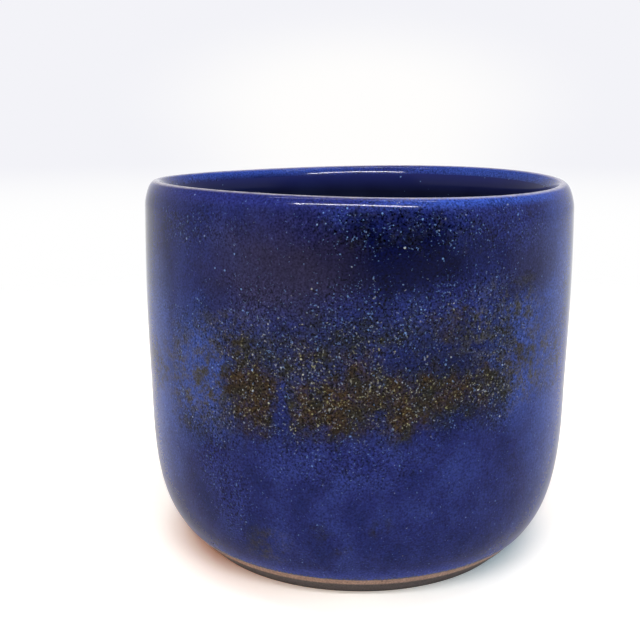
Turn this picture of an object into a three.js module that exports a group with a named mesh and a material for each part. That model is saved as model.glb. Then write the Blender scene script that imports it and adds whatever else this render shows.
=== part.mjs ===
// A hand-thrown stoneware cup with a dipped glaze, in millimetres. It stands on its foot, with +Z up.
// The clay is one piece, thrown on a wheel and trimmed at the foot. Two coats of glaze are fired on it:
// a liner poured inside and an outer coat dipped outside. They meet in a seam just inside the lip.
import * as THREE from "three";

// Clay body, as fired
const clayHeight = 75.2; // table to the crest of the lip
const wallRadius = 43.2; // outside, at the top of the belly
const shoulderRadius = 43.2; // outside, at the root of the lip
const wallBulge = 0.2; // how far the wall between them swells
const wallThickness = 4.6; // at the top of the belly
const lipThickness = 3.8; // at the root of the lip
const lipRise = 4.8; // root to crest of the rounded lip
const lipWaver = 0.43; // how far the crest rises and dips, twice round the cup
const waverStart = 40; // height where the wall begins to waver

// Belly, where the wall curves in to the foot
const bellyHeight = 34; // table to the top of the belly
const bellyHeel = 20; // pull of the curve, down from the top of the belly
const bellyToe = 4.5; // pull of the curve, outward from the glaze line
const bellyToeAngle = THREE.MathUtils.degToRad(40); // slope of the clay at the glaze line

// Trimmed foot
const footRadius = 33.1; // outer edge of the ring that rests on the table
const footRingWidth = 5.5; // width of that ring
const footRecess = 2; // depth of the hollow inside the ring
const footRecessSlope = 1.6; // run of the hollow's sloping side
const bevelWidth = 2.9; // undercut bevel round the foot
const bevelHeight = 2.85;
const bareBandHeight = 2.05; // bare clay between the bevel and the glaze
const bareBandLean = 0.8; // how far that band leans out

// Inside of the clay
const floorThickness = 4.6; // in the middle, above the hollow
const floorDish = 0.4; // how far the middle of the floor lies below its edge
const floorRadius = 18; // where the floor starts to curve up into the wall
const innerBellyHeight = 32; // table to the top of the inner curve
const innerBellyHeel = 20; // pull of the inner curve, down from its top
const innerBellyToe = 16; // pull of the inner curve, outward from the floor

// Glaze
const coatThickness = 0.5; // on the outside wall
const rollThickness = 0.7; // where the outer coat ran and stopped, above the glaze line
const rollLength = 4; // reach of that thick roll up the belly
const rollEdge = 0.25; // thickness left at the glaze line itself
const lipCoat = 0.35; // over the lip, where the glaze breaks thin
const linerThickness = 0.4; // on the inside wall
const linerPool = 0.7; // in the middle of the floor, where the liner pooled
const seamAngle = THREE.MathUtils.degToRad(50); // seam's place on the lip, from the crest inwards

// Facets
const turns = 56; // sides of every round
const bellySteps = 9;
const wallSteps = 4;
const lipSteps = 6; // crest to root
const seamSteps = 3; // crest to seam
const floorSteps = 3;

const quarterTurn = Math.PI / 2;
const point = (radius, height) => new THREE.Vector2(radius, height);

// Heights and corners that several pieces share
const lipRoot = clayHeight - lipRise;
const crestRadius = shoulderRadius - lipThickness / 2;
const seamHeight = lipRoot + lipRise * Math.cos(seamAngle);
const footEdge = point(footRadius, 0);
const arris = point(footRadius + bevelWidth, bevelHeight);
const glazeLine = point(arris.x + bareBandLean, arris.y + bareBandHeight);
const bellyTop = point(wallRadius, bellyHeight);
const shoulder = point(shoulderRadius, lipRoot);
const innerLipRoot = point(shoulderRadius - lipThickness, lipRoot);
const innerBellyTop = point(wallRadius - wallThickness, innerBellyHeight);
const floorMiddle = point(0, footRecess + floorThickness);
const floorEdge = point(floorRadius, floorMiddle.y + floorDish);

// Points along a curve, closer together at its start where crowding is over 1.
function along(curve, steps, crowding = 1) {
  const shares = Array.from({ length: steps + 1 }, (_, i) => (i / steps) ** crowding);
  return shares.map((share) => curve.getPoint(share));
}

// Runs of points as one line, with the doubled point at each join left out.
function joined(...runs) {
  return runs.flatMap((run, i) => (i === 0 ? run : run.slice(1)));
}

// A stretch of the lip's rounded nose, between two angles measured from the crest, inwards positive.
function lipArc(from, to, steps) {
  const nose = new THREE.EllipseCurve(
    crestRadius, lipRoot, lipThickness / 2, lipRise, quarterTurn + from, quarterTurn + to, false,
  );
  return along(nose, steps);
}

// The clay's outer face, from the glaze line up the belly and wall and over the lip to the seam.
function outerFace() {
  const toe = point(Math.cos(bellyToeAngle), Math.sin(bellyToeAngle)).multiplyScalar(bellyToe);
  const belly = new THREE.CubicBezierCurve(
    glazeLine, glazeLine.clone().add(toe), point(bellyTop.x, bellyTop.y - bellyHeel), bellyTop,
  );
  const swell = bellyTop.clone().lerp(shoulder, 0.5).add(point(2 * wallBulge, 0));
  const wall = new THREE.QuadraticBezierCurve(bellyTop, swell, shoulder);
  const edgeCrowding = 1.6; // close steps where the roll of glaze is thick
  return joined(
    along(belly, bellySteps, edgeCrowding),
    along(wall, wallSteps),
    lipArc(-quarterTurn, 0, lipSteps),
    lipArc(0, seamAngle, seamSteps),
  );
}

// The clay's inner face, from the seam down the wall to the middle of the floor.
function innerFace() {
  const wall = new THREE.LineCurve(innerLipRoot, innerBellyTop);
  const belly = new THREE.CubicBezierCurve(
    innerBellyTop,
    point(innerBellyTop.x, innerBellyTop.y - innerBellyHeel),
    point(floorEdge.x + innerBellyToe, floorEdge.y),
    floorEdge,
  );
  const floor = new THREE.QuadraticBezierCurve(floorEdge, point(floorRadius / 2, floorMiddle.y), floorMiddle);
  return joined(
    lipArc(seamAngle, quarterTurn, lipSteps - seamSteps),
    along(wall, wallSteps),
    along(belly, bellySteps),
    along(floor, floorSteps),
  );
}

// The trimmed underside, from the middle of the hollow out over the foot ring and up the bevel.
function underside() {
  const ringInside = footRadius - footRingWidth;
  return [
    point(0, footRecess),
    point(ringInside - footRecessSlope, footRecess),
    point(ringInside, 0),
    footEdge,
    arris,
  ];
}

// Share of the lip's thinning that the glaze has at a place: none on the wall, all from the seam's height up.
function thinned(place) {
  return THREE.MathUtils.smoothstep(place.y, lipRoot, seamHeight);
}

// Thickness of the outer coat: a rounded edge at the glaze line, a thick roll above it, thin on the lip.
function outerThickness(place) {
  const climbed = place.distanceTo(glazeLine);
  const rounding = Math.min(climbed / rollThickness, 1);
  const edge = rollEdge + (rollThickness - rollEdge) * Math.sqrt(1 - (1 - rounding) ** 2);
  const settled = THREE.MathUtils.smoothstep(climbed, rollThickness, rollLength);
  const onWall = THREE.MathUtils.lerp(edge, coatThickness, settled);
  return THREE.MathUtils.lerp(onWall, lipCoat, thinned(place));
}

// Thickness of the liner: thin at the seam, even down the wall, pooled on the floor.
function innerThickness(place) {
  const onWall = THREE.MathUtils.lerp(linerThickness, lipCoat, thinned(place));
  const wallFoot = innerBellyHeight - innerBellyHeel;
  const pooled = 1 - THREE.MathUtils.smoothstep(place.y, floorMiddle.y, wallFoot);
  return THREE.MathUtils.lerp(onWall, linerPool, pooled);
}

// One point of a face, moved out along the face's normal there. The face is level where it meets the axis.
function raised(face, i, thickness) {
  const before = face[Math.max(i - 1, 0)];
  const after = face[Math.min(i + 1, face.length - 1)];
  const run = after.clone().sub(before);
  if (face[i].x === 0) run.y = 0;
  const normal = point(run.y, -run.x).normalize();
  return face[i].clone().addScaledVector(normal, thickness);
}

// The lip of a thrown cup is never quite level: this lifts and dips it, fading out down the wall.
function waver(geometry) {
  const places = geometry.attributes.position;
  for (let i = 0; i < places.count; i += 1) {
    const angle = Math.atan2(places.getY(i), places.getX(i));
    const height = places.getZ(i);
    const share = THREE.MathUtils.smoothstep(height, waverStart, clayHeight);
    places.setZ(i, height + lipWaver * share * Math.sin(2 * angle));
  }
  return geometry;
}

// An outline turned round the Z axis. One that is drawn with its solid on the other side has its triangles
// turned over, so that two pieces can share a face with the same triangles on it.
function turned(outline, turnedOver = false) {
  const geometry = new THREE.LatheGeometry(outline, turns).rotateX(quarterTurn);
  const corners = geometry.index.array;
  for (let i = 0; turnedOver && i < corners.length; i += 3) {
    [corners[i], corners[i + 1]] = [corners[i + 1], corners[i]];
  }
  return waver(geometry);
}

function piece(name, geometry, material) {
  const mesh = new THREE.Mesh(geometry, material);
  mesh.name = name;
  return mesh;
}

const outside = outerFace();
const glazedFace = joined(outside, innerFace());
const seam = outside.length - 1; // the seam's place along the glazed face
const freeFace = glazedFace.map((place, i) => {
  const thickness = i < seam ? outerThickness(place) : innerThickness(place);
  return raised(glazedFace, i, thickness);
});

// One coat of glaze, between two places along the glazed face.
function coat(from, to) {
  const backing = glazedFace.slice(from, to + 1);
  const free = freeFace.slice(from, to + 1);
  return turned([...backing, ...free.reverse(), backing[0]], true);
}

const clayBody = turned(joined([...underside(), glazeLine], glazedFace));
const outerCoat = coat(0, seam);
const liner = coat(seam, glazedFace.length - 1);

const clay = new THREE.MeshStandardMaterial({ color: "#8a6450", roughness: 0.85, metalness: 0 });
const cobaltGlaze = new THREE.MeshStandardMaterial({ color: "#272f72", roughness: 0.1, metalness: 0 });
const linerGlaze = new THREE.MeshStandardMaterial({ color: "#1f2863", roughness: 0.1, metalness: 0 });

const cup = new THREE.Group();
cup.add(piece("clay_body", clayBody, clay));
cup.add(piece("outer_glaze", outerCoat, cobaltGlaze));
cup.add(piece("inner_glaze", liner, linerGlaze));

export default cup;
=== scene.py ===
# Hand-thrown stoneware cup: a clay body, an outer coat of cobalt glaze and a liner coat.
# It stands in the frame of the solids. The cup's own sizes are millimetres, the stage's are metres.
import math

import bpy
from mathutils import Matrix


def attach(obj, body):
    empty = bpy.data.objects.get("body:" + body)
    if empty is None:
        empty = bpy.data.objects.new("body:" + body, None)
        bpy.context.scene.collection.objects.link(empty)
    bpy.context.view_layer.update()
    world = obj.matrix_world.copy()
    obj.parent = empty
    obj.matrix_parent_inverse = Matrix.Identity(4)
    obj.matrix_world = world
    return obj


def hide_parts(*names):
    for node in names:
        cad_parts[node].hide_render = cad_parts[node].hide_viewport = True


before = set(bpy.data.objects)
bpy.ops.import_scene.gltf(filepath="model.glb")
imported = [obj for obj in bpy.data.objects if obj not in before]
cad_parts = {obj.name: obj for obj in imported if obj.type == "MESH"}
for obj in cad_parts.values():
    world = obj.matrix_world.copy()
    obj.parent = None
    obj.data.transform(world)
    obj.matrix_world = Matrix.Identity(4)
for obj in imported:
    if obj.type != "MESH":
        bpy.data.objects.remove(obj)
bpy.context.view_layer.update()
mm = 0.001
onAxis = 1e-6  # mm; a point nearer to the cup's axis than this lies on it


# Small helpers for curves

def smoothstep(value, low, high):
    share = min(max((value - low) / (high - low), 0.0), 1.0)
    return share * share * (3 - 2 * share)


def blend(low, high, share):
    return low + (high - low) * share


def curvePoints(corners, steps, crowding=1.0):
    # a Bezier curve through its corners' pull, with closer steps at its start where crowding is over 1
    found = []
    for step in range(steps + 1):
        share = (step / steps) ** crowding
        level = corners
        while len(level) > 1:
            level = [
                (blend(a[0], b[0], share), blend(a[1], b[1], share))
                for a, b in zip(level, level[1:])
            ]
        found.append(level[0])
    return found


def joined(*runs):
    # runs of points as one line, without the doubled point at each join
    line = list(runs[0])
    for run in runs[1:]:
        line += run[1:]
    return line


# The thrown and trimmed clay

clay = {
    "height": 75.2,  # table to the crest of the lip
    "wallRadius": 43.2,  # outside, at the top of the belly
    "shoulderRadius": 43.2,  # outside, at the root of the lip
    "wallBulge": 0.2,  # how far the wall between them swells
    "wallThickness": 4.6,
    "lipThickness": 3.8,
    "lipRise": 4.8,  # root to crest of the rounded lip
    "lipWaver": 0.43,  # how far the crest rises and dips, twice round
    "waverStart": 40,  # height where the wall begins to waver
    "bellyHeight": 34,
    "bellyHeel": 20,  # pull of the belly's curve, down from its top
    "bellyToe": 4.5,  # and outward from the glaze line
    "bellyToeAngle": 40,  # slope of the clay there, in degrees
    "footRadius": 33.1,
    "footRingWidth": 5.5,
    "footRecess": 2.0,  # depth of the hollow inside the ring
    "footRecessSlope": 1.6,  # run of its sloping side
    "bevelWidth": 2.9,
    "bevelHeight": 2.85,
    "bareBandHeight": 2.05,  # bare clay between the bevel and the glaze
    "bareBandLean": 0.8,
    "floorThickness": 4.6,
    "floorDish": 0.4,  # how far the middle of the floor lies below its edge
    "floorRadius": 18,  # where the floor starts to curve up into the wall
    "innerBellyHeight": 32,
    "innerBellyHeel": 20,
    "innerBellyToe": 16,
    "trimLineSpacing": 1.7,  # grooves that the trimming tool left in the hollow of the foot
    "trimLineDepth": 0.07,
    "trimLineStart": 4.0, "trimLineEnd": 2.0,  # they fade out at the middle and before the ring
    "spongedEdge": 0.25,  # the sponge takes the sharpness off the ring's edges
    "arrisLean": 0.16, "arrisRise": 0.3,  # end of the rounding above the arris
}

glazeCoats = {
    "wall": 0.5,
    "roll": 0.7,  # thick roll where the glaze ran and stopped
    "rollLength": 4.0,
    "rollEdge": 0.25,
    "lip": 0.35,  # thin where it breaks over the lip
    "liner": 0.4,
    "linerPool": 0.7,
    "seamAngle": 50,  # degrees from the crest inwards, where the two coats meet
    "edgeWobble": 0.12,  # how far the glaze line strays from level
    "edgeWaves": ((0.5, 5, 0.6), (0.3, 11, 2), (0.2, 23, 4)),  # share, waves round the cup, start
    "edgeFrom": 1.0, "edgeTo": 5.0,  # distance from the glaze line over which the straying dies out
}

turning = {
    "sides": 192,
    "weld": 0.002,  # joins the last side to the first
    "smoothAngle": 50,
    "wallWobble": 0.06,  # slow out-of-round wander of the thrown wall
    "wobbleFrom": 12, "wobbleTo": 30,  # heights where it sets in
    "wobbleStart": 1.1, "wobbleTwist": 7,  # radians, and mm of height for each radian
    "ringPitch": 7.0, "ringDepth": 0.1,  # finger rings inside
    "ringReach": 41,  # radius of the inner wall, with some room
    "ringFoot": (20, 30), "ringTop": (60, 68),  # heights where they rise and fade
    "spiralPitch": 6.0, "spiralDepth": 0.14,  # finger spiral on the floor
    "spiralMiddle": (2, 7), "spiralEdge": (14, 22),  # radii where it rises and fades
    "spiralFloor": 5,  # only above this height, so not under the foot
    "boxMargin": 0.001,  # keeps the crest inside the box of the solids
}

# Steps along each stretch of the profiles
profileSteps = {
    "belly": 44, "bellyCrowding": 1.6, "wall": 30, "lip": 18, "seam": 10,
    "innerLip": 8, "innerWall": 36, "innerBelly": 40, "floor": 30,
    "groove": 6, "recess": 4, "ring": 8, "edge": 4, "bevel": 8, "arris": 5, "bareBand": 6,
}

lipRoot = clay["height"] - clay["lipRise"]
crestRadius = clay["shoulderRadius"] - clay["lipThickness"] / 2
seamHeight = lipRoot + clay["lipRise"] * math.cos(math.radians(glazeCoats["seamAngle"]))
arris = (clay["footRadius"] + clay["bevelWidth"], clay["bevelHeight"])
glazeLine = (arris[0] + clay["bareBandLean"], arris[1] + clay["bareBandHeight"])
bellyTop = (clay["wallRadius"], clay["bellyHeight"])
shoulder = (clay["shoulderRadius"], lipRoot)
innerLipRoot = (clay["shoulderRadius"] - clay["lipThickness"], lipRoot)
innerBellyTop = (clay["wallRadius"] - clay["wallThickness"], clay["innerBellyHeight"])
floorMiddle = (0.0, clay["footRecess"] + clay["floorThickness"])
floorEdge = (clay["floorRadius"], floorMiddle[1] + clay["floorDish"])


def lipArc(start, end, steps):
    # part of the lip's rounded nose, in degrees from the crest, inwards positive
    found = []
    for step in range(steps + 1):
        angle = math.radians(90 + blend(start, end, step / steps))
        found.append((
            crestRadius + clay["lipThickness"] / 2 * math.cos(angle),
            lipRoot + clay["lipRise"] * math.sin(angle),
        ))
    return found


def outerFace():
    slope = math.radians(clay["bellyToeAngle"])
    toe = (
        glazeLine[0] + clay["bellyToe"] * math.cos(slope),
        glazeLine[1] + clay["bellyToe"] * math.sin(slope),
    )
    heel = (bellyTop[0], bellyTop[1] - clay["bellyHeel"])
    swell = (
        (bellyTop[0] + shoulder[0]) / 2 + 2 * clay["wallBulge"],
        (bellyTop[1] + shoulder[1]) / 2,
    )
    steps = profileSteps
    return joined(
        curvePoints([glazeLine, toe, heel, bellyTop], steps["belly"], steps["bellyCrowding"]),
        curvePoints([bellyTop, swell, shoulder], steps["wall"]),
        lipArc(-90, 0, steps["lip"]),
        lipArc(0, glazeCoats["seamAngle"], steps["seam"]),
    )


def innerFace():
    heel = (innerBellyTop[0], innerBellyTop[1] - clay["innerBellyHeel"])
    toe = (floorEdge[0] + clay["innerBellyToe"], floorEdge[1])
    dish = (clay["floorRadius"] / 2, floorMiddle[1])
    steps = profileSteps
    return joined(
        lipArc(glazeCoats["seamAngle"], 90, steps["innerLip"]),
        curvePoints([innerLipRoot, innerBellyTop], steps["innerWall"]),
        curvePoints([innerBellyTop, heel, toe, floorEdge], steps["innerBelly"]),
        curvePoints([floorEdge, dish, floorMiddle], steps["floor"]),
    )


def underside():
    # the hollow with its trimming grooves, the foot ring and the undercut bevel
    steps = profileSteps
    ringInside = clay["footRadius"] - clay["footRingWidth"]
    hollow = ringInside - clay["footRecessSlope"]
    count = steps["groove"] * round(hollow / clay["trimLineSpacing"])
    grooves = []
    for step in range(count + 1):
        radius = hollow * step / count
        fade = smoothstep(radius, 0, clay["trimLineStart"])
        fade *= 1 - smoothstep(radius, hollow - clay["trimLineEnd"], hollow)
        turn = 2 * math.pi * step / steps["groove"]
        grooves.append((radius, clay["footRecess"] + clay["trimLineDepth"] * fade * math.sin(turn)))
    sponged = clay["spongedEdge"]
    recessFoot = (ringInside - 2 * sponged, sponged)
    ringStart = (ringInside + 2 * sponged, 0)
    ringEnd = (clay["footRadius"] - sponged, 0)
    bevelFoot = (clay["footRadius"] + sponged, sponged)
    bevelTop = (arris[0] - sponged, arris[1] - sponged)
    bandFoot = (arris[0] + clay["arrisLean"], arris[1] + clay["arrisRise"])
    return joined(
        grooves,
        curvePoints([(hollow, clay["footRecess"]), recessFoot], steps["recess"]),
        curvePoints([recessFoot, (ringInside, 0), ringStart], steps["edge"]),
        curvePoints([ringStart, ringEnd], steps["ring"]),
        curvePoints([ringEnd, (clay["footRadius"], 0), bevelFoot], steps["edge"]),
        curvePoints([bevelFoot, bevelTop], steps["bevel"]),
        curvePoints([bevelTop, arris, bandFoot], steps["arris"]),
        curvePoints([bandFoot, glazeLine], steps["bareBand"]),
    )


def outerThickness(place):
    climbed = math.dist(place, glazeLine)
    rounding = min(climbed / glazeCoats["roll"], 1)
    rise = math.sqrt(1 - (1 - rounding) ** 2)
    edge = blend(glazeCoats["rollEdge"], glazeCoats["roll"], rise)
    settled = smoothstep(climbed, glazeCoats["roll"], glazeCoats["rollLength"])
    onWall = blend(edge, glazeCoats["wall"], settled)
    return blend(onWall, glazeCoats["lip"], smoothstep(place[1], lipRoot, seamHeight))


def innerThickness(place):
    onWall = blend(glazeCoats["liner"], glazeCoats["lip"], smoothstep(place[1], lipRoot, seamHeight))
    wallFoot = clay["innerBellyHeight"] - clay["innerBellyHeel"]
    pooled = 1 - smoothstep(place[1], floorMiddle[1], wallFoot)
    return blend(onWall, glazeCoats["linerPool"], pooled)


def raised(face, index, thickness):
    # one point of a face moved out along its normal; the face is level where it meets the axis
    before = face[max(index - 1, 0)]
    after = face[min(index + 1, len(face) - 1)]
    run = (after[0] - before[0], after[1] - before[1])
    if face[index][0] < onAxis:
        run = (-1.0, 0.0)
    length = math.hypot(*run)
    return (
        face[index][0] + thickness * run[1] / length,
        face[index][1] - thickness * run[0] / length,
    )


# Turning a profile into a piece

def spun(name, outline):
    # one vertex is drawn along the profile and spun round the cup's axis
    bpy.ops.object.select_all(action="DESELECT")
    bpy.ops.mesh.primitive_plane_add(size=mm)
    piece = bpy.context.object
    piece.name = name
    piece.data.name = name
    bpy.ops.object.mode_set(mode="EDIT")
    bpy.ops.mesh.merge(type="CENTER")
    pen = (0.0, 0.0)
    for index, place in enumerate(outline):
        move = ((place[0] - pen[0]) * mm, 0, (place[1] - pen[1]) * mm)
        if index == 0:
            bpy.ops.transform.translate(value=move)
        else:
            bpy.ops.mesh.extrude_vertices_move(TRANSFORM_OT_translate={"value": move})
        pen = place
    bpy.ops.mesh.select_all(action="SELECT")
    bpy.ops.mesh.spin(steps=turning["sides"], angle=2 * math.pi, center=(0, 0, 0), axis=(0, 0, 1))
    bpy.ops.mesh.select_all(action="SELECT")
    bpy.ops.mesh.remove_doubles(threshold=turning["weld"] * mm)
    bpy.ops.mesh.normals_make_consistent(inside=False)
    bpy.ops.object.mode_set(mode="OBJECT")
    bpy.ops.object.shade_smooth_by_angle(angle=math.radians(turning["smoothAngle"]))
    print("spun", name, len(piece.data.polygons), "faces")
    return piece


def handMade(x, y, z):
    # the small unevenness of a thrown wall, the same for the clay and the glaze on it, in millimetres
    radius = math.hypot(x, y)
    angle = math.atan2(y, x)
    up = smoothstep(z, clay["waverStart"], clay["height"])
    onWall = smoothstep(z, turning["wobbleFrom"], turning["wobbleTo"])
    threeWaves = math.sin(3 * angle + turning["wobbleStart"])
    twoWaves = math.sin(2 * angle + z / turning["wobbleTwist"])
    wander = threeWaves + twoWaves - 2  # never outwards
    grow = turning["wallWobble"] * onWall * wander
    if radius < turning["ringReach"]:
        fade = smoothstep(z, *turning["ringFoot"]) * (1 - smoothstep(z, *turning["ringTop"]))
        wave = math.sin(2 * math.pi * z / turning["ringPitch"] - angle)
        grow += turning["ringDepth"] * fade * wave
    rise = (clay["lipWaver"] - turning["boxMargin"]) * up * math.sin(2 * angle)
    if radius < turning["spiralEdge"][1] and z > turning["spiralFloor"]:
        fade = smoothstep(radius, *turning["spiralMiddle"])
        fade *= 1 - smoothstep(radius, *turning["spiralEdge"])
        wave = math.sin(2 * math.pi * radius / turning["spiralPitch"] - angle)
        rise += turning["spiralDepth"] * fade * wave
    scale = (radius + grow) / radius if radius > onAxis else 1.0
    return x * scale, y * scale, z + rise


def strayEdge(x, y, z):
    # the glaze line wanders a little up and down the belly
    radius = math.hypot(x, y)
    angle = math.atan2(y, x)
    away = math.dist((radius, z), glazeLine)
    near = 1 - smoothstep(away, glazeCoats["edgeFrom"], glazeCoats["edgeTo"])
    stray = sum(
        share * math.sin(waves * angle + start)
        for share, waves, start in glazeCoats["edgeWaves"]
    )
    shift = glazeCoats["edgeWobble"] * near * stray
    slope = math.radians(clay["bellyToeAngle"])
    scale = (radius + shift * math.cos(slope)) / radius
    return x * scale, y * scale, z + shift * math.sin(slope)


def reshape(piece, *rules):
    for vertex in piece.data.vertices:
        place = [value / mm for value in vertex.co]
        for rule in rules:
            place = rule(*place)
        vertex.co = [value * mm for value in place]
    piece.data.update()


outside = outerFace()
glazedFace = joined(outside, innerFace())
seam = len(outside) - 1
freeFace = [
    raised(glazedFace, index, outerThickness(place) if index < seam else innerThickness(place))
    for index, place in enumerate(glazedFace)
]


def coatOutline(start, end):
    backing = glazedFace[start:end + 1]
    free = freeFace[start:end + 1]
    return backing + free[::-1] + backing[:1]


stonewareBody = spun("stoneware_body", joined(underside(), glazedFace))
outerCoat = spun("outer_glaze_coat", coatOutline(0, seam))
linerCoat = spun("liner_glaze_coat", coatOutline(seam, len(glazedFace) - 1))
reshape(stonewareBody, handMade)
reshape(outerCoat, strayEdge, handMade)
reshape(linerCoat, handMade)

for piece, node, slot in (
    (stonewareBody, "clay_body", "clay"),
    (outerCoat, "outer_glaze", "outer_glaze"),
    (linerCoat, "inner_glaze", "inner_glaze"),
):
    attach(piece, "root")
    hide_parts(node)
print("pieces ride on the body")


# Materials

def linear(hexColour):
    # an sRGB hex value as linear colour
    channels = []
    for start in (1, 3, 5):
        value = int(hexColour[start:start + 2], 16) / 255
        channels.append(value / 12.92 if value <= 0.04045 else ((value + 0.055) / 1.055) ** 2.4)
    return (*channels, 1.0)


def addNode(tree, kind, links, out=0, **settings):
    # one node with its settings; links are its sockets, each given a value or another node's socket
    node = tree.nodes.new(kind)
    for name, value in settings.items():
        setattr(node, name, value)
    for name, value in links.items():
        if isinstance(value, bpy.types.NodeSocket):
            tree.links.new(value, node.inputs[name])
        else:
            node.inputs[name].default_value = value
    return node.outputs[out] if node.outputs else node


def newMaterial(name):
    material = bpy.data.materials.new(name)
    material.use_nodes = True
    material.node_tree.nodes.clear()
    return material


def dress(piece, material):
    piece.data.materials.clear()
    piece.data.materials.append(material)


# Glossy stoneware glaze: cobalt in glass, with iron that came up through it as a curdled, speckled
# brown band. The finest grains are drawn wide enough to show in the picture.

glazeLook = {
    "deepBlue": "#0a174a",
    "cobalt": "#1c235a",
    "paleBlue": "#293674",
    "night": "#03072e",  # the darkest blue, high on the wall
    "haze": "#282438",  # a smoky purple where a little iron clouds the blue
    "bandBlue": "#0d1a34",  # the duller blue between the grains of iron
    # partly painted sheen: this pale blue also stands for reflections along the cup's sides
    "paleSideBlueAndSheen": "#3c56a6",
    "islands": "#474538",  # pale olive that floats in the blue at the ends of the band
    "rim": "#232a6a",
    "rimBright": "#314a9e",
    "roll": "#34469e",  # painted highlight: brighter blue where the thick edge of the coat catches the light above the foot
    "darkOlive": "#14160f",
    "olive": "#1d1e17",
    "umber": "#261e14",
    "rust": "#30230f",
    "speckBlue": "#6e94cc",
    "speckPale": "#b6bab4",
    "speckYellow": "#a9a872",
    "crestBreakAndHighlight": "#c8c2c6",  # clay showing through on the crest of the lip, where glass runs thin, with a painted highlight along it
    "cloudSize": 6, "runStretch": 0.75,  # mm; clouds are drawn out downwards where the glass ran
    "cloudRoughness": 0.6, "cloudStops": (0.2, 0.48, 0.8),  # deep blue, cobalt and pale blue
    "cloudStraySize": 6, "cloudStray": 10,  # mm; ragged edges of the blue patches
    "patchStraySize": 4, "patchStray": 7,  # and of the iron
    "bandStraySize": 9, "bandStray": 14,  # slow wander of the band's edges
    "patchEdge": (1.3, 0.5),  # a patch starts and is full at these shares of its half-sizes
    "tilt": 0.08,  # rise of the bands per mm to the right, from a slanting dip
    "bandHeights": (30, 39, 49, 62),  # mm; where the band starts, is full, thins and ends
    "bandDull": 0.36, "bandIron": 0.68,  # how dull its blue is and how much iron is in it
    "crownSpecks": 0.7, "crownIron": 0.4,  # the same specks and iron, fewer, under the lip
    "blotSize": 2.1, "blotRoughness": 0.85, "blotPull": 2.6,  # mm; blots that tear the iron
    "ironFrom": 1.55, "ironFull": 2.25,  # amount at which iron shows and hides the blue
    "islandFrom": 0.46, "islandFull": 0.6,  # the same for the islands, in the blots alone
    "ironSize": 3.5, "ironWarmth": 0.32,  # mm; drifts from olive to rust, warmer where it is thick
    "ironStops": (0.4, 0.6, 0.8, 1.0),
    "grainSize": 0.38, "grainCalm": 1.9, "grainBusy": 5.6, "grainDarkest": 0.1,  # mm, then contrast
    "speckShift": (37, 11, 5),  # mm; keeps the specks apart from the grain
    "hueSize": 0.9, "hueShift": 0.14,  # mm; specks turn from blue to yellow over iron
    "hueStops": (0.6, 0.74, 0.86),
    "glintSize": 0.4, "glintRare": 0.7, "glintCommon": 0.57, "glintSoft": 0.12, "glintShare": 0.45,
    "clumpSize": 3.5, "clumpFrom": 0.3, "clumpFull": 0.7, "clumpLeast": 0.4,  # mm, then shares
    "crystalSpacing": 0.95, "crystalRadius": 0.14, "crystalTear": 0.35,  # mm
    "crystalSpread": (0.6, 1.4), "crystalSoft": 0.3, "crystalStrength": (0.1, 0.85),
    "crystalRare": 0.03, "crystalCommon": 0.8,
    "rimFrom": 73.0, "rimFull": 74.6,  # heights in mm
    "rollHighlightFrom": 8.5, "rollHighlightFull": 4.5, "rollHighlightShare": 0.6,
    "frayReach": 2.4, "frayFrom": 1.7, "frayFull": 1.2, "frayShare": 0.8,  # mm above the glaze line
    "crestWidths": (-1.0, -0.3, 0.2, 0.8),  # mm from the crest, inwards negative
    "crestFrom": 72, "crestFull": 73, "crestShare": 0.7,  # heights in mm
    "wornFrom": 0.3, "wornFull": 0.65, "wornLeast": 0.35,  # its unevenness, from the blots
    "rippleSize": 0.5, "rippleDepth": 0.05, "rippleStrength": 0.03,  # mm
    "roughness": 0.09,
    "specular": 0.1,
    "ior": 1.5,
}

# Patches on the wall: turn from the front in degrees, height and half-sizes in mm, and strength.
# Iron that came up thick
ironPatches = (
    (-25, 41.5, 7.5, 8.5, 0.95), (-6, 39.5, 10.5, 6.5, 0.95), (12, 38.9, 7, 6, 0.9),
    (30, 43.5, 8, 4.5, 0.85), (41, 47, 7, 4, 0.6), (20, 42, 9, 5, 0.9), (3, 43, 9, 7, 0.9),
    (22, 54, 6, 5, 0.6), (5, 46.5, 6, 6, 0.6), (-28, 49, 6, 5, 0.65), (-12, 47.5, 5, 5, 0.7),
    (-36, 43, 6, 9, 0.35), (90, 41, 10, 6, 0.6), (104, 40, 14, 4, 0.7), (118, 43, 10, 7, 0.8),
    (150, 39, 9, 6, 0.7), (178, 42, 11, 7, 0.9), (-152, 39, 10, 6, 0.8), (-122, 42, 9, 7, 0.6),
    (-95, 39, 10, 6, 0.9), (-63, 41, 8, 6, 0.5), (-25, 12.5, 4.5, 4, 0.4), (-8, 16, 3, 3, 0.4),
    (-4, 12, 2.5, 2.5, 0.45), (5, 18, 3.5, 4, 0.35), (173, 74.5, 3, 3, 0.6),
)
# Darker blue above the band, with smoky clouds in it
nightPatches = (
    (9, 65.5, 19, 7.5, 1.0), (34, 62.5, 13, 5, 0.5), (20, 44, 14, 9, 0.7), (98, 65, 16, 8, 0.7),
    (140, 64, 18, 9, 0.9), (-150, 64, 18, 8, 0.8), (-85, 64, 15, 8, 0.6),
)
hazePatches = (
    (-19, 63, 14, 10, 0.75), (48, 63, 8, 6, 0.4), (105, 62, 11, 7, 0.7), (-175, 60, 12, 7, 0.6),
    (-115, 62, 10, 7, 0.7),
)
# Lighter blue beside the ends of the band: partly glaze, and at the cup's sides partly painted sheen for
# the pale reflections there
sideSheenAndBluePatches = (
    (-66, 38, 14, 22, 0.75), (-43, 43, 10, 12, 0.55), (63, 46, 13, 30, 0.6), (46, 46, 10, 12, 0.5),
    (-160, 30, 16, 22, 0.7), (135, 26, 15, 20, 0.6),
)
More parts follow.
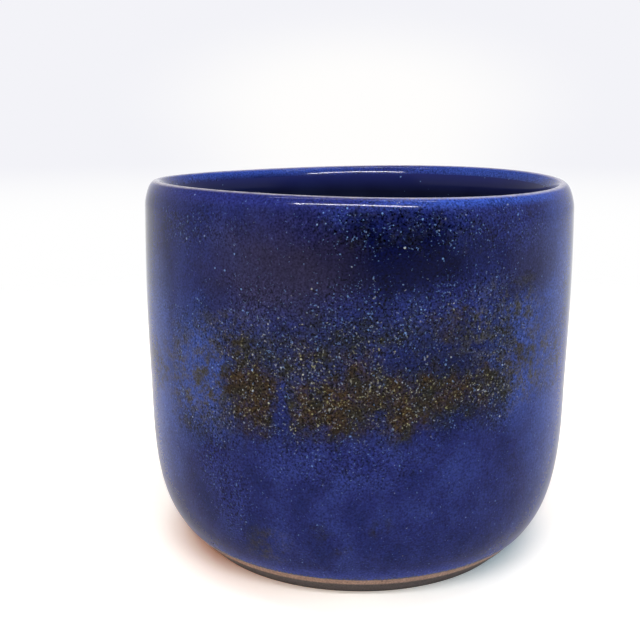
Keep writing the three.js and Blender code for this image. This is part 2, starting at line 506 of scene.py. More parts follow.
# Olive islands afloat in the blue at the ends of the band
islandPatches = (
    (-42, 42, 12, 9, 1.0), (-30, 48, 9, 7, 0.8), (45, 45, 13, 8, 1.0), (36, 54, 12, 6, 0.9),
    (160, 42, 18, 9, 0.9), (-80, 42, 12, 9, 0.9), (105, 46, 14, 8, 0.9), (-23, 11, 5, 4, 0.6),
)
# Specks and a little iron under the lip
crownPatches = (
    (12, 70.5, 19, 4.5, 1.0), (34, 70, 12, 5, 0.7), (-42, 69.5, 12, 3.5, 0.65), (95, 70, 20, 4, 0.8),
    (165, 70.5, 22, 4, 0.7), (-110, 70, 20, 4, 0.8),
)
# Where the band stays clear
clearPatches = (
    (56, 55, 11, 10, 0.75), (50, 46, 9, 11, 0.8), (-63, 42, 13, 20, 1.0), (-41, 43, 9, 10, 0.75),
    (24, 50, 9, 8, 0.4), (72, 42, 10, 12, 0.9), (-105, 46, 12, 10, 0.5),
)
# Blue veins that run down through it
veinPatches = (
    (-17.5, 38.5, 1.7, 5, 0.6), (10, 48, 4, 3, 0.35), (15, 35, 3, 3, 0.5), (28, 48, 4, 3, 0.4),
    (140, 42, 2, 7, 0.6), (-165, 40, 2, 6, 0.6), (-108, 41, 2, 7, 0.6),
)
# Pale specks sprinkled beyond it
sprinklePatches = (
    (4, 55, 17, 7, 0.9), (26, 57, 15, 7, 0.7), (-22, 54, 10, 7, 0.7), (-4, 31, 16, 6, 0.5),
    (-37, 30, 5, 9, 0.7), (-32, 20, 4, 9, 0.6), (110, 55, 20, 9, 0.7), (-130, 54, 20, 9, 0.7),
    (165, 32, 18, 7, 0.5),
)
# Brighter stretches of the rim
rimPatches = ((36, 75, 22, 12, 1.0), (120, 75, 30, 12, 0.8), (-140, 75, 30, 12, 0.8))


def inMillimetres(tree):
    coords = addNode(tree, "ShaderNodeTexCoord", {}, "Object")
    return addNode(tree, "ShaderNodeMapping", {"Vector": coords, "Scale": (1 / mm, 1 / mm, 1 / mm)})


def strayedPlace(tree, place, size, reach):
    # the place shifted by a noise, so that what is drawn with it gets a ragged edge
    noise = addNode(tree, "ShaderNodeTexNoise", {"Vector": place, "Scale": 1 / size, "Detail": 4}, "Color")
    shift = addNode(tree, "ShaderNodeVectorMath", {0: noise, 1: (0.5, 0.5, 0.5)}, operation="SUBTRACT")
    return addNode(tree, "ShaderNodeVectorMath", {
        0: shift, 1: (reach, reach, reach), 2: place,
    }, operation="MULTIPLY_ADD")


def bandHeight(tree, place):
    # height measured along the slanting dip
    axes = addNode(tree, "ShaderNodeSeparateXYZ", {0: place}).node
    return addNode(tree, "ShaderNodeMath", {
        0: axes.outputs[0], 1: -glazeLook["tilt"], 2: axes.outputs[2],
    }, operation="MULTIPLY_ADD")


def band(tree, height, rise, full, fade, end):
    # a soft band in height, from 0 to 1 and back
    up = addNode(tree, "ShaderNodeMapRange", {
        0: height, 1: rise, 2: full,
    }, interpolation_type="SMOOTHSTEP")
    down = addNode(tree, "ShaderNodeMapRange", {
        0: height, 1: fade, 2: end, 3: 1, 4: 0,
    }, interpolation_type="SMOOTHSTEP")
    return addNode(tree, "ShaderNodeMath", {0: up, 1: down}, operation="MULTIPLY")


def patchesOn(tree, place, patches):
    # how strongly the soft patches cover each place, from 0 to 1
    amount = 0.0
    start, full = glazeLook["patchEdge"]
    for turn, height, wide, tall, strength in patches:
        angle = math.radians(turn)
        middle = (clay["wallRadius"] * math.sin(angle), -clay["wallRadius"] * math.cos(angle), height)
        offset = addNode(tree, "ShaderNodeVectorMath", {0: place, 1: middle}, operation="SUBTRACT")
        scaled = addNode(tree, "ShaderNodeVectorMath", {
            0: offset, 1: (1 / wide, 1 / wide, 1 / tall),
        }, operation="MULTIPLY")
        reach = addNode(tree, "ShaderNodeVectorMath", {0: scaled}, "Value", operation="LENGTH")
        part = addNode(tree, "ShaderNodeMapRange", {0: reach, 1: start, 2: full, 3: 0, 4: strength})
        amount = addNode(tree, "ShaderNodeMath", {0: amount, 1: part}, operation="MAXIMUM")
    return amount


def crystals(tree, place, density, tint, colour):
    # pale crystals: a torn dot in some of the cells, each with its own size and strength
    look = glazeLook
    cells = addNode(tree, "ShaderNodeTexVoronoi", {
        "Vector": strayedPlace(tree, place, look["crystalTear"], look["crystalTear"]),
        "Scale": 1 / look["crystalSpacing"],
    }).node
    dice = addNode(tree, "ShaderNodeSeparateColor", {0: cells.outputs["Color"]}).node
    share = look["crystalRadius"] / look["crystalSpacing"]
    small, large = look["crystalSpread"]
    radius = addNode(tree, "ShaderNodeMapRange", {0: dice.outputs[1], 3: share * small, 4: share * large})
    depth = addNode(tree, "ShaderNodeMath", {
        0: radius, 1: cells.outputs["Distance"],
    }, operation="SUBTRACT")
    edge = share * look["crystalSoft"]
    dot = addNode(tree, "ShaderNodeMapRange", {0: depth, 1: -edge, 2: edge})
    chosen = addNode(tree, "ShaderNodeMath", {0: dice.outputs[0], 1: density}, operation="LESS_THAN")
    faint, strong = look["crystalStrength"]
    strength = addNode(tree, "ShaderNodeMapRange", {0: dice.outputs[2], 3: faint, 4: strong})
    mask = addNode(tree, "ShaderNodeMath", {0: dot, 1: chosen}, operation="MULTIPLY")
    mask = addNode(tree, "ShaderNodeMath", {0: mask, 1: strength}, operation="MULTIPLY")
    return addNode(tree, "ShaderNodeMix", {0: mask, 6: colour, 7: tint}, 2, data_type="RGBA")


def blueGlass(tree, place, level):
    # slow clouds of cobalt, with the night-blue and smoky patches high on the wall, a brighter rim and a
    # painted highlight on the roll above the foot
    look = glazeLook
    runs = addNode(tree, "ShaderNodeMapping", {"Vector": place, "Scale": (1, 1, look["runStretch"])})
    clouds = addNode(tree, "ShaderNodeTexNoise", {
        "Vector": runs, "Scale": 1 / look["cloudSize"], "Detail": 6, "Roughness": look["cloudRoughness"],
    })
    colour = addNode(tree, "ShaderNodeValToRGB", {0: clouds})
    ramp = colour.node.color_ramp
    low, middle, high = look["cloudStops"]
    ramp.elements[0].position = low
    ramp.elements[0].color = linear(look["deepBlue"])
    ramp.elements[1].position = high
    ramp.elements[1].color = linear(look["paleBlue"])
    ramp.elements.new(middle).color = linear(look["cobalt"])
    ragged = strayedPlace(tree, place, look["cloudStraySize"], look["cloudStray"])
    for patches, name in ((sideSheenAndBluePatches, "paleSideBlueAndSheen"), (nightPatches, "night"), (hazePatches, "haze")):
        amount = patchesOn(tree, ragged, patches)
        colour = addNode(tree, "ShaderNodeMix", {
            0: amount, 6: colour, 7: linear(look[name]),
        }, 2, data_type="RGBA")
    rim = addNode(tree, "ShaderNodeMapRange", {
        0: level, 1: look["rimFrom"], 2: look["rimFull"],
    }, interpolation_type="SMOOTHSTEP")
    bright = addNode(tree, "ShaderNodeMix", {
        0: patchesOn(tree, ragged, rimPatches), 6: linear(look["rim"]), 7: linear(look["rimBright"]),
    }, 2, data_type="RGBA")
    colour = addNode(tree, "ShaderNodeMix", {0: rim, 6: colour, 7: bright}, 2, data_type="RGBA")
    # painted highlight: the roll of glaze above the foot turns brighter blue
    roll = addNode(tree, "ShaderNodeMapRange", {
        0: level, 1: look["rollHighlightFrom"], 2: look["rollHighlightFull"], 3: 0, 4: look["rollHighlightShare"],
    }, interpolation_type="SMOOTHSTEP")
    return addNode(tree, "ShaderNodeMix", {
        0: roll, 6: colour, 7: linear(look["roll"]),
    }, 2, data_type="RGBA")


def ironColour(tree, place, warmth):
    # nearly black olive where the iron is thin, umber and rust where it came up thick
    look = glazeLook
    noise = addNode(tree, "ShaderNodeTexNoise", {
        "Vector": place, "Scale": 1 / look["ironSize"], "Detail": 4,
    })
    share = addNode(tree, "ShaderNodeMath", {
        0: warmth, 1: look["ironWarmth"], 2: noise,
    }, operation="MULTIPLY_ADD")
    tint = addNode(tree, "ShaderNodeValToRGB", {0: share})
    ramp = tint.node.color_ramp
    thin, second, third, thick = look["ironStops"]
    ramp.elements[0].position = thin
    ramp.elements[0].color = linear(look["darkOlive"])
    ramp.elements[1].position = thick
    ramp.elements[1].color = linear(look["rust"])
    ramp.elements.new(second).color = linear(look["olive"])
    ramp.elements.new(third).color = linear(look["umber"])
    return tint


def cobaltGlaze():
    look = glazeLook
    material = newMaterial("cobalt stoneware glaze")
    tree = material.node_tree
    place = inMillimetres(tree)
    level = addNode(tree, "ShaderNodeSeparateXYZ", {0: place}, 2)
    ragged = strayedPlace(tree, place, look["patchStraySize"], look["patchStray"])
    height = bandHeight(tree, strayedPlace(tree, place, look["bandStraySize"], look["bandStray"]))
    colour = blueGlass(tree, place, level)

    # how much iron came through: a thin belt with patches in it and a few under the lip, torn by blots
    belt = band(tree, height, *look["bandHeights"])
    veins = patchesOn(tree, ragged, veinPatches)
    clear = addNode(tree, "ShaderNodeMath", {
        0: patchesOn(tree, ragged, clearPatches), 1: veins,
    }, operation="MAXIMUM")
    left = addNode(tree, "ShaderNodeMath", {0: 1.0, 1: clear}, operation="SUBTRACT")
    belt = addNode(tree, "ShaderNodeMath", {0: belt, 1: left}, operation="MULTIPLY")
    crown = patchesOn(tree, ragged, crownPatches)
    soft = addNode(tree, "ShaderNodeMath", {0: crown, 1: look["crownSpecks"]}, operation="MULTIPLY")
    busy = addNode(tree, "ShaderNodeMath", {0: belt, 1: soft}, operation="MAXIMUM")
    busy = addNode(tree, "ShaderNodeMath", {
        0: busy, 1: patchesOn(tree, ragged, sprinklePatches),
    }, operation="MAXIMUM")
    dull = addNode(tree, "ShaderNodeMath", {0: belt, 1: look["bandDull"]}, operation="MULTIPLY")
    colour = addNode(tree, "ShaderNodeMix", {
        0: dull, 6: colour, 7: linear(look["bandBlue"]),
    }, 2, data_type="RGBA")
    thin = addNode(tree, "ShaderNodeMath", {0: belt, 1: look["bandIron"]}, operation="MULTIPLY")
    thick = patchesOn(tree, ragged, ironPatches)
    amount = addNode(tree, "ShaderNodeMath", {0: thick, 1: thin}, operation="MAXIMUM")
    amount = addNode(tree, "ShaderNodeMath", {
        0: crown, 1: look["crownIron"], 2: amount,
    }, operation="MULTIPLY_ADD")
    amount = addNode(tree, "ShaderNodeMath", {0: amount, 1: veins}, operation="SUBTRACT")
    blots = addNode(tree, "ShaderNodeTexNoise", {
        "Vector": place, "Scale": 1 / look["blotSize"], "Detail": 6, "Roughness": look["blotRoughness"],
    })
    afloat = addNode(tree, "ShaderNodeMapRange", {0: blots, 1: look["islandFrom"], 2: look["islandFull"]})
    afloat = addNode(tree, "ShaderNodeMath", {
        0: afloat, 1: patchesOn(tree, ragged, islandPatches),
    }, operation="MULTIPLY")
    colour = addNode(tree, "ShaderNodeMix", {
        0: afloat, 6: colour, 7: linear(look["islands"]),
    }, 2, data_type="RGBA")
    amount = addNode(tree, "ShaderNodeMath", {
        0: blots, 1: look["blotPull"], 2: amount,
    }, operation="MULTIPLY_ADD")
    brown = addNode(tree, "ShaderNodeMapRange", {0: amount, 1: look["ironFrom"], 2: look["ironFull"]})
    colour = addNode(tree, "ShaderNodeMix", {
        0: brown, 6: colour, 7: ironColour(tree, place, thick),
    }, 2, data_type="RGBA")

    # the fine grain of the glaze, lighter and darker, strongest in the band
    grain = addNode(tree, "ShaderNodeTexNoise", {
        "Vector": place, "Scale": 1 / look["grainSize"], "Detail": 1,
    })
    contrast = addNode(tree, "ShaderNodeMapRange", {0: busy, 3: look["grainCalm"], 4: look["grainBusy"]})
    depth = addNode(tree, "ShaderNodeMath", {0: grain, 1: 0.5}, operation="SUBTRACT")
    depth = addNode(tree, "ShaderNodeMath", {0: depth, 1: contrast, 2: 1.0}, operation="MULTIPLY_ADD")
    depth = addNode(tree, "ShaderNodeMath", {0: depth, 1: look["grainDarkest"]}, operation="MAXIMUM")
    colour = addNode(tree, "ShaderNodeVectorMath", {0: colour, "Scale": depth}, operation="SCALE")

    # pale specks: glints that gather in clumps, and a few larger crystals
    apart = addNode(tree, "ShaderNodeMapping", {"Vector": place, "Location": look["speckShift"]})
    hue = addNode(tree, "ShaderNodeTexNoise", {"Vector": apart, "Scale": 1 / look["hueSize"], "Detail": 1})
    for iron in (belt, thick):
        hue = addNode(tree, "ShaderNodeMath", {
            0: iron, 1: look["hueShift"], 2: hue,
        }, operation="MULTIPLY_ADD")
    tint = addNode(tree, "ShaderNodeValToRGB", {0: hue})
    ramp = tint.node.color_ramp
    blue, pale, yellow = look["hueStops"]
    ramp.elements[0].position = blue
    ramp.elements[0].color = linear(look["speckBlue"])
    ramp.elements[1].position = yellow
    ramp.elements[1].color = linear(look["speckYellow"])
    ramp.elements.new(pale).color = linear(look["speckPale"])
    glint = addNode(tree, "ShaderNodeTexNoise", {
        "Vector": apart, "Scale": 1 / look["glintSize"], "Detail": 1,
    })
    clumps = addNode(tree, "ShaderNodeTexNoise", {
        "Vector": apart, "Scale": 1 / look["clumpSize"], "Detail": 3,
    })
    gather = addNode(tree, "ShaderNodeMapRange", {
        0: clumps, 1: look["clumpFrom"], 2: look["clumpFull"], 3: look["clumpLeast"], 4: 1,
    })
    gather = addNode(tree, "ShaderNodeMath", {0: gather, 1: busy}, operation="MULTIPLY")
    least = addNode(tree, "ShaderNodeMapRange", {
        0: gather, 3: look["glintRare"], 4: look["glintCommon"],
    })
    over = addNode(tree, "ShaderNodeMath", {0: glint, 1: least}, operation="SUBTRACT")
    bright = addNode(tree, "ShaderNodeMapRange", {
        0: over, 1: 0, 2: look["glintSoft"], 3: 0, 4: look["glintShare"],
    })
    colour = addNode(tree, "ShaderNodeMix", {0: bright, 6: colour, 7: tint}, 2, data_type="RGBA")
    density = addNode(tree, "ShaderNodeMapRange", {
        0: gather, 3: look["crystalRare"], 4: look["crystalCommon"],
    })
    colour = crystals(tree, place, density, tint, colour)

    # the glaze line, where dark grains of iron show in the thin edge of the glass
    frayed = addNode(tree, "ShaderNodeMath", {
        0: grain, 1: look["frayReach"], 2: level,
    }, operation="MULTIPLY_ADD")
    fray = addNode(tree, "ShaderNodeMapRange", {
        0: frayed, 1: glazeLine[1] + look["frayFrom"], 2: glazeLine[1] + look["frayFull"],
        3: 0, 4: look["frayShare"],
    })
    colour = addNode(tree, "ShaderNodeMix", {
        0: fray, 6: colour, 7: linear(look["darkOlive"]),
    }, 2, data_type="RGBA")

    # the crest of the lip, where the glass breaks to the clay, and a pale painted highlight along it
    flat = addNode(tree, "ShaderNodeVectorMath", {0: place, 1: (1, 1, 0)}, operation="MULTIPLY")
    out = addNode(tree, "ShaderNodeVectorMath", {0: flat}, "Value", operation="LENGTH")
    crest = band(tree, out, *(crestRadius + width for width in look["crestWidths"]))
    top = addNode(tree, "ShaderNodeMapRange", {
        0: level, 1: look["crestFrom"], 2: look["crestFull"], 3: 0, 4: look["crestShare"],
    })
    crest = addNode(tree, "ShaderNodeMath", {0: crest, 1: top}, operation="MULTIPLY")
    worn = addNode(tree, "ShaderNodeMapRange", {
        0: blots, 1: look["wornFrom"], 2: look["wornFull"], 3: look["wornLeast"], 4: 1,
    })
    crest = addNode(tree, "ShaderNodeMath", {0: crest, 1: worn}, operation="MULTIPLY")
    colour = addNode(tree, "ShaderNodeMix", {
        0: crest, 6: colour, 7: linear(look["crestBreakAndHighlight"]),
    }, 2, data_type="RGBA")

    # a fine grain in the glass that breaks the edges of its highlights
    ripple = addNode(tree, "ShaderNodeTexNoise", {
        "Vector": place, "Scale": 1 / look["rippleSize"], "Detail": 2,
    })
    bump = addNode(tree, "ShaderNodeBump", {
        "Strength": look["rippleStrength"], "Distance": look["rippleDepth"] * mm, "Height": ripple,
    })
    shader = addNode(tree, "ShaderNodeBsdfPrincipled", {
        "Base Color": colour, "Roughness": look["roughness"], "IOR": look["ior"],
        "Specular IOR Level": look["specular"], "Normal": bump,
    })
    addNode(tree, "ShaderNodeOutputMaterial", {"Surface": shader})
    return material


# Poured liner: the same glass, nearly black under the rim, where the dark is partly painted shade inside
# the cup, and a clear deep blue low inside

linerLook = {
    # partly painted shade: the liner is drawn darker than the outer glaze, for the shade inside the cup
    "blue": "#161c36",
    "dark": "#10142a",
    "deep": "#1c2760",  # where it lies thicker, low inside
    "cloudSize": 10, "cloudFrom": 0.35, "cloudFull": 0.65,  # mm, then shares
    "deepFrom": 58, "deepFull": 30, "deepShare": 0.8,  # heights in mm
    "rimFrom": 69.5, "rimFull": 74.8,  # it takes the colour of the rim beside the seam
    "crystals": 0.05,  # share of the cells that hold one
}


def linerGlaze():
    look = linerLook
    material = newMaterial("dark liner glaze")
    tree = material.node_tree
    place = inMillimetres(tree)
    level = addNode(tree, "ShaderNodeSeparateXYZ", {0: place}, 2)
    clouds = addNode(tree, "ShaderNodeTexNoise", {
        "Vector": place, "Scale": 1 / look["cloudSize"], "Detail": 4,
    })
    cloudy = addNode(tree, "ShaderNodeMapRange", {0: clouds, 1: look["cloudFrom"], 2: look["cloudFull"]})
    colour = addNode(tree, "ShaderNodeMix", {
        0: cloudy, 6: linear(look["dark"]), 7: linear(look["blue"]),
    }, 2, data_type="RGBA")
    deep = addNode(tree, "ShaderNodeMapRange", {
        0: level, 1: look["deepFrom"], 2: look["deepFull"], 3: 0, 4: look["deepShare"],
    }, interpolation_type="SMOOTHSTEP")
    colour = addNode(tree, "ShaderNodeMix", {
        0: deep, 6: colour, 7: linear(look["deep"]),
    }, 2, data_type="RGBA")
    rim = addNode(tree, "ShaderNodeMapRange", {0: level, 1: look["rimFrom"], 2: look["rimFull"]})
    colour = addNode(tree, "ShaderNodeMix", {
        0: rim, 6: colour, 7: linear(glazeLook["rim"]),
    }, 2, data_type="RGBA")
    colour = crystals(tree, place, look["crystals"], linear(glazeLook["speckBlue"]), colour)
    shader = addNode(tree, "ShaderNodeBsdfPrincipled", {
        "Base Color": colour, "Roughness": glazeLook["roughness"], "IOR": glazeLook["ior"],
        "Specular IOR Level": glazeLook["specular"],
    })
    addNode(tree, "ShaderNodeOutputMaterial", {"Surface": shader})
    return material


# Bare stoneware: matt, sandy and toasted, with iron specks, and painted shade that darkens the undercut
# bevel

clayLook = {
    "bare": "#9c8474",
    "toasted": "#aa8b78",  # where the fire reached it, beside the glaze
    # painted shade: the undercut bevel sits in the cup's shadow, so it is drawn dark
    "bevel": "#564d4a",
    "iron": "#3a2a22",
    "toastFrom": 0.1, "toastFull": 0.5,  # mm above the arris
    "bevelShadeFrom": 0.05, "bevelShadeFull": 0.3,  # mm above the table
    "bevelShadeFade": 0.05, "bevelShadeEnd": 0.5,  # mm above the arris
    "ringEdge": (-0.2, 0.1),  # mm from the ring's outer edge; the ring itself stays pale
    "sandSize": 0.35, "sandFrom": 0.3, "sandFull": 0.7,  # mm, then shares
    "sandDark": 0.65, "sandLight": 1.35,  # shades of single grains
    "sandDepth": 0.1, "sandStrength": 0.4,  # mm
    "ironSpacing": 1.6, "ironRadius": 0.22, "ironEdge": (1.4, 0.7),  # mm, then shares of the radius
    "ironShare": 0.45, "ironStrength": 0.8,
    "roughness": 0.85,
}


def bareClay():
    look = clayLook
    material = newMaterial("bare fired stoneware")
    tree = material.node_tree
    place = inMillimetres(tree)
    level = addNode(tree, "ShaderNodeSeparateXYZ", {0: place}, 2)
    flat = addNode(tree, "ShaderNodeVectorMath", {0: place, 1: (1, 1, 0)}, operation="MULTIPLY")
    out = addNode(tree, "ShaderNodeVectorMath", {0: flat}, "Value", operation="LENGTH")
    toast = addNode(tree, "ShaderNodeMapRange", {
        0: level, 1: arris[1] + look["toastFrom"], 2: arris[1] + look["toastFull"],
    })
    colour = addNode(tree, "ShaderNodeMix", {
        0: toast, 6: linear(look["bare"]), 7: linear(look["toasted"]),
    }, 2, data_type="RGBA")
    # painted shade on the bevel, between the table and the arris, but not on the ring beneath
    bevelTop = (arris[1] + look["bevelShadeFade"], arris[1] + look["bevelShadeEnd"])
    bevel = band(tree, level, look["bevelShadeFrom"], look["bevelShadeFull"], *bevelTop)
    ringEdge = [clay["footRadius"] + step for step in look["ringEdge"]]
    outer = addNode(tree, "ShaderNodeMapRange", {0: out, 1: ringEdge[0], 2: ringEdge[1]})
    bevel = addNode(tree, "ShaderNodeMath", {0: bevel, 1: outer}, operation="MULTIPLY")
    colour = addNode(tree, "ShaderNodeMix", {
        0: bevel, 6: colour, 7: linear(look["bevel"]),
    }, 2, data_type="RGBA")
    sand = addNode(tree, "ShaderNodeTexNoise", {
        "Vector": place, "Scale": 1 / look["sandSize"], "Detail": 3,
    })
    shade = addNode(tree, "ShaderNodeMapRange", {
        0: sand, 1: look["sandFrom"], 2: look["sandFull"], 3: look["sandDark"], 4: look["sandLight"],
    })
    colour = addNode(tree, "ShaderNodeVectorMath", {0: colour, "Scale": shade}, operation="SCALE")
    cells = addNode(tree, "ShaderNodeTexVoronoi", {
        "Vector": place, "Scale": 1 / look["ironSpacing"],
    }).node
    dice = addNode(tree, "ShaderNodeSeparateColor", {0: cells.outputs["Color"]})
    chosen = addNode(tree, "ShaderNodeMath", {0: dice, 1: look["ironShare"]}, operation="LESS_THAN")
    share = look["ironRadius"] / look["ironSpacing"]
    outerEdge, innerEdge = (share * part for part in look["ironEdge"])
    spot = addNode(tree, "ShaderNodeMapRange", {
        0: cells.outputs["Distance"], 1: outerEdge, 2: innerEdge, 3: 0, 4: look["ironStrength"],
    })
    spot = addNode(tree, "ShaderNodeMath", {0: spot, 1: chosen}, operation="MULTIPLY")
    colour = addNode(tree, "ShaderNodeMix", {
        0: spot, 6: colour, 7: linear(look["iron"]),
    }, 2, data_type="RGBA")
    bump = addNode(tree, "ShaderNodeBump", {
        "Strength": look["sandStrength"], "Distance": look["sandDepth"] * mm, "Height": sand,
    })
    shader = addNode(tree, "ShaderNodeBsdfPrincipled", {
        "Base Color": colour, "Roughness": look["roughness"], "Normal": bump,
    })
    addNode(tree, "ShaderNodeOutputMaterial", {"Surface": shader})
    return material


dress(outerCoat, cobaltGlaze())
dress(linerCoat, linerGlaze())
dress(stonewareBody, bareClay())
print("materials done")


# Stage, light and camera

studio = {
    "floorSize": 12.0,
    "floorColour": "#f6f4f1",
    "floorGlow": "#b2aba2",  # lifts the floor round the cup in the picture, so that its shadow stays faint
    "glowFrom": 0.25, "glowTo": 0.5,
    "contactFrom": 0.035, "contactTo": 0.045,  # painted bounce light: under the belly the lift is warm left and cool right
    "contactLeft": "#743a10", "contactRight": "#6b7d85", "contactReach": 0.028,
    "paper": "#ffffff",
    "whiteFrom": 0.15, "whiteTo": 0.32,  # where the floor is plain white, from the cup
    "fadeFrom": 0.55, "fadeTo": 1.4,  # where it turns into the backdrop
    "backdrop": "#f3f3f8",
    "backdropMiddle": "#fffefd",
    "backdropFrom": 0.06, "backdropTo": 0.26,  # sine of the angle from the middle
    "backdropSquash": 2.5,  # the bright middle is wider than high
    "warmSide": "#ffd0a2", "coolSide": "#c8e2ff",  # the room's light from the left and from the right
    "sideReach": 0.8,
    "ceiling": "#909096",
    "ceilingFrom": 0.2, "ceilingTo": 0.7,  # sine of the angle above the table
}

strips = {
    "reach": 1.0,  # distance from the lip
    "length": 1.0,
    "width": 0.03,
    "overheadLean": 3, "overheadPower": 4.0,  # degrees towards the viewer, and watts
    "frontLean": 43, "frontPower": 7.0,
    "overheadGleam": 9.0, "frontGleam": 45.0,  # seen only as shine on the glaze, they light nothing
}

darkCard = {
    "left": -0.40, "right": 0.80, "away": 0.38, "height": 0.36,
    "softLeft": 0.10, "softRight": 0.40, "softTop": 0.05, "softFoot": 0.03,  # widths of its soft edges
    "colour": "#262628",
}


def backdropColour(tree, direction):
    # lavender white, brighter straight behind the cup
    squeezed = addNode(tree, "ShaderNodeVectorMath", {
        0: direction, 1: (1, 0, studio["backdropSquash"]),
    }, operation="MULTIPLY")
    off = addNode(tree, "ShaderNodeVectorMath", {0: squeezed}, "Value", operation="LENGTH")
    share = addNode(tree, "ShaderNodeMapRange", {
        0: off, 1: studio["backdropFrom"], 2: studio["backdropTo"],
    }, interpolation_type="SMOOTHSTEP")
    return addNode(tree, "ShaderNodeMix", {
        0: share, 6: linear(studio["backdropMiddle"]), 7: linear(studio["backdrop"]),
    }, 2, data_type="RGBA")


def seenDirectly(tree):
    # 1 for what the camera, a mirror or a lens sees, 0 for light that falls on the cup
    path = addNode(tree, "ShaderNodeLightPath", {}).node
    seen = addNode(tree, "ShaderNodeMath", {
        0: path.outputs["Is Camera Ray"], 1: path.outputs["Is Glossy Ray"],
    }, operation="MAXIMUM")
    return addNode(tree, "ShaderNodeMath", {
        0: seen, 1: path.outputs["Is Transmission Ray"],
    }, operation="MAXIMUM")


def makeFloor():
    bpy.ops.object.select_all(action="DESELECT")
    bpy.ops.mesh.primitive_plane_add(size=studio["floorSize"])
    floor = bpy.context.object
    floor.name = "floor"
    material = newMaterial("white studio floor")
    tree = material.node_tree
    seen = seenDirectly(tree)
    place = addNode(tree, "ShaderNodeTexCoord", {}, "Object")
    away = addNode(tree, "ShaderNodeVectorMath", {0: place}, "Value", operation="LENGTH")
    plain = addNode(tree, "ShaderNodeMapRange", {
        0: away, 1: studio["whiteFrom"], 2: studio["whiteTo"],
    }, interpolation_type="SMOOTHSTEP")
    fade = addNode(tree, "ShaderNodeMapRange", {
        0: away, 1: studio["fadeFrom"], 2: studio["fadeTo"],
    }, interpolation_type="SMOOTHSTEP")
    far = addNode(tree, "ShaderNodeMath", {0: plain, 1: seen}, operation="MULTIPLY")
    paint = addNode(tree, "ShaderNodeBsdfDiffuse", {"Color": linear(studio["floorColour"])})
    camera = addNode(tree, "ShaderNodeLightPath", {}, "Is Camera Ray")
    near = addNode(tree, "ShaderNodeMapRange", {
        0: away, 1: studio["glowFrom"], 2: studio["glowTo"], 3: 1, 4: 0,
    })
    glow = addNode(tree, "ShaderNodeMath", {0: camera, 1: near}, operation="MULTIPLY")
    # painted bounce light under the belly, warm on the left and cool on the right
    across = addNode(tree, "ShaderNodeSeparateXYZ", {0: place})
    side = addNode(tree, "ShaderNodeMapRange", {
        0: across, 1: -studio["contactReach"], 2: studio["contactReach"],
    })
    bounce = addNode(tree, "ShaderNodeValToRGB", {0: side})
    bounce.node.color_ramp.elements[0].color = linear(studio["contactLeft"])
    bounce.node.color_ramp.elements[1].color = linear(studio["contactRight"])
    bounce.node.color_ramp.elements.new(0.5).color = linear(studio["floorGlow"])
    beyond = addNode(tree, "ShaderNodeMapRange", {
        0: away, 1: studio["contactFrom"], 2: studio["contactTo"],
    })
    tint = addNode(tree, "ShaderNodeMix", {
        0: beyond, 6: bounce, 7: linear(studio["floorGlow"]),
    }, 2, data_type="RGBA")
    lift = addNode(tree, "ShaderNodeEmission", {"Color": tint, "Strength": glow})
    lit = addNode(tree, "ShaderNodeAddShader", {0: paint, 1: lift})
    direction = addNode(tree, "ShaderNodeVectorMath", {0: place}, operation="NORMALIZE")
    paper = addNode(tree, "ShaderNodeMix", {
        0: fade, 6: linear(studio["paper"]), 7: backdropColour(tree, direction),
    }, 2, data_type="RGBA")
    backdrop = addNode(tree, "ShaderNodeEmission", {"Color": paper, "Strength": 1})
    surface = addNode(tree, "ShaderNodeMixShader", {0: far, 1: lit, 2: backdrop})
    addNode(tree, "ShaderNodeOutputMaterial", {"Surface": surface})
    dress(floor, material)


def makeCard():
    # a dark card with soft edges in front of the cup: the glaze shows it as the deep patch under the lip
    card = darkCard
    bpy.ops.object.select_all(action="DESELECT")
    bpy.ops.mesh.primitive_plane_add(size=1)
    sheet = bpy.context.object
    sheet.name = "dark_card"
    sheet.scale = (card["right"] - card["left"], card["height"], 1)
    sheet.rotation_euler = (math.radians(90), 0, 0)
    sheet.location = ((card["left"] + card["right"]) / 2, -card["away"], card["height"] / 2)
    bpy.ops.object.transform_apply(location=True, rotation=True, scale=True)
    sheet.visible_camera = False
    sheet.visible_diffuse = False
    sheet.visible_shadow = False
    material = newMaterial("soft-edged dark card")
    tree = material.node_tree
    place = addNode(tree, "ShaderNodeTexCoord", {}, "Object")
    axes = addNode(tree, "ShaderNodeSeparateXYZ", {0: place}).node
    across, up = axes.outputs[0], axes.outputs[2]
    dark = 1.0
    for axis, clear, full in (
        (across, card["left"], card["left"] + card["softLeft"]),
        (across, card["right"], card["right"] - card["softRight"]),
        (up, 0.0, card["softFoot"]),
        (up, card["height"], card["height"] - card["softTop"]),
    ):
        edge = addNode(tree, "ShaderNodeMapRange", {0: axis, 1: clear, 2: full})
        dark = addNode(tree, "ShaderNodeMath", {0: dark, 1: edge}, operation="MULTIPLY")
    paint = addNode(tree, "ShaderNodeBsdfDiffuse", {"Color": linear(card["colour"])})
    clear = addNode(tree, "ShaderNodeBsdfTransparent", {})
    surface = addNode(tree, "ShaderNodeMixShader", {0: dark, 1: clear, 2: paint})
    addNode(tree, "ShaderNodeOutputMaterial", {"Surface": surface})
    dress(sheet, material)


def makeLights():
    for name, lean, power, lights in (
        ("overhead strip", strips["overheadLean"], strips["overheadPower"], True),
        ("front strip", strips["frontLean"], strips["frontPower"], True),
        ("overhead gleam", strips["overheadLean"], strips["overheadGleam"], False),
        ("front gleam", strips["frontLean"], strips["frontGleam"], False),
    ):
        data = bpy.data.lights.new(name, "AREA")
        data.shape = "RECTANGLE"
        data.size = strips["length"]
        data.size_y = strips["width"]
        data.energy = power
        lamp = bpy.data.objects.new(name, data)
        lamp.visible_diffuse = lights
        bpy.context.scene.collection.objects.link(lamp)
        lean = math.radians(lean)
        reach = strips["reach"]
        lamp.location = (0, -reach * math.sin(lean), clay["height"] * mm + reach * math.cos(lean))
        lamp.rotation_euler = (lean, 0, 0)


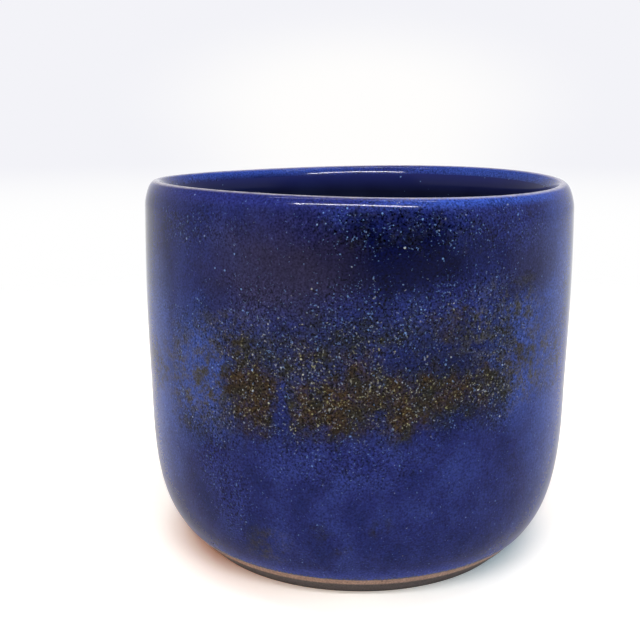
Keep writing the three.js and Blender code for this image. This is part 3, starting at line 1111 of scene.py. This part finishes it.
def makeWorld():
    world = bpy.data.worlds.new("soft white studio")
    bpy.context.scene.world = world
    world.use_nodes = True
    tree = world.node_tree
    tree.nodes.clear()
    direction = addNode(tree, "ShaderNodeTexCoord", {}, "Generated")
    height = addNode(tree, "ShaderNodeSeparateXYZ", {0: direction}, 2)
    climb = addNode(tree, "ShaderNodeMapRange", {
        0: height, 1: studio["ceilingFrom"], 2: studio["ceilingTo"],
    }, interpolation_type="SMOOTHSTEP")
    across = addNode(tree, "ShaderNodeSeparateXYZ", {0: direction})
    side = addNode(tree, "ShaderNodeMapRange", {
        0: across, 1: -studio["sideReach"], 2: studio["sideReach"],
    })
    low = addNode(tree, "ShaderNodeMix", {
        0: side, 6: linear(studio["warmSide"]), 7: linear(studio["coolSide"]),
    }, 2, data_type="RGBA")
    room = addNode(tree, "ShaderNodeMix", {
        0: climb, 6: low, 7: linear(studio["ceiling"]),
    }, 2, data_type="RGBA")
    shown = addNode(tree, "ShaderNodeMix", {
        0: climb, 6: backdropColour(tree, direction), 7: linear(studio["ceiling"]),
    }, 2, data_type="RGBA")
    colour = addNode(tree, "ShaderNodeMix", {
        0: seenDirectly(tree), 6: room, 7: shown,
    }, 2, data_type="RGBA")
    background = addNode(tree, "ShaderNodeBackground", {0: colour, 1: 1.0})
    addNode(tree, "ShaderNodeOutputWorld", {0: background})


photoCamera = {
    "back": 0.1986,  # from the cup's axis
    "height": 0.0904,
    "pitch": 12.75,  # degrees down
    "yaw": 2.25,  # degrees to the left, so the cup stands right of the middle
    "lens": 53.6, "sensor": 36,  # mm
    "near": 0.01, "far": 50,
}


def makeCamera():
    data = bpy.data.cameras.new("photo camera")
    data.sensor_width = photoCamera["sensor"]
    data.lens = photoCamera["lens"]
    data.clip_start = photoCamera["near"]
    data.clip_end = photoCamera["far"]
    camera = bpy.data.objects.new("photo camera", data)
    bpy.context.scene.collection.objects.link(camera)
    camera.location = (0, -photoCamera["back"], photoCamera["height"])
    camera.rotation_euler = (
        math.radians(90 - photoCamera["pitch"]), 0, math.radians(photoCamera["yaw"]),
    )
    bpy.context.scene.camera = camera


makeFloor()
makeCard()
makeLights()
makeWorld()
makeCamera()
bpy.context.scene.view_settings.view_transform = "Standard"
print("stage, light and camera done")
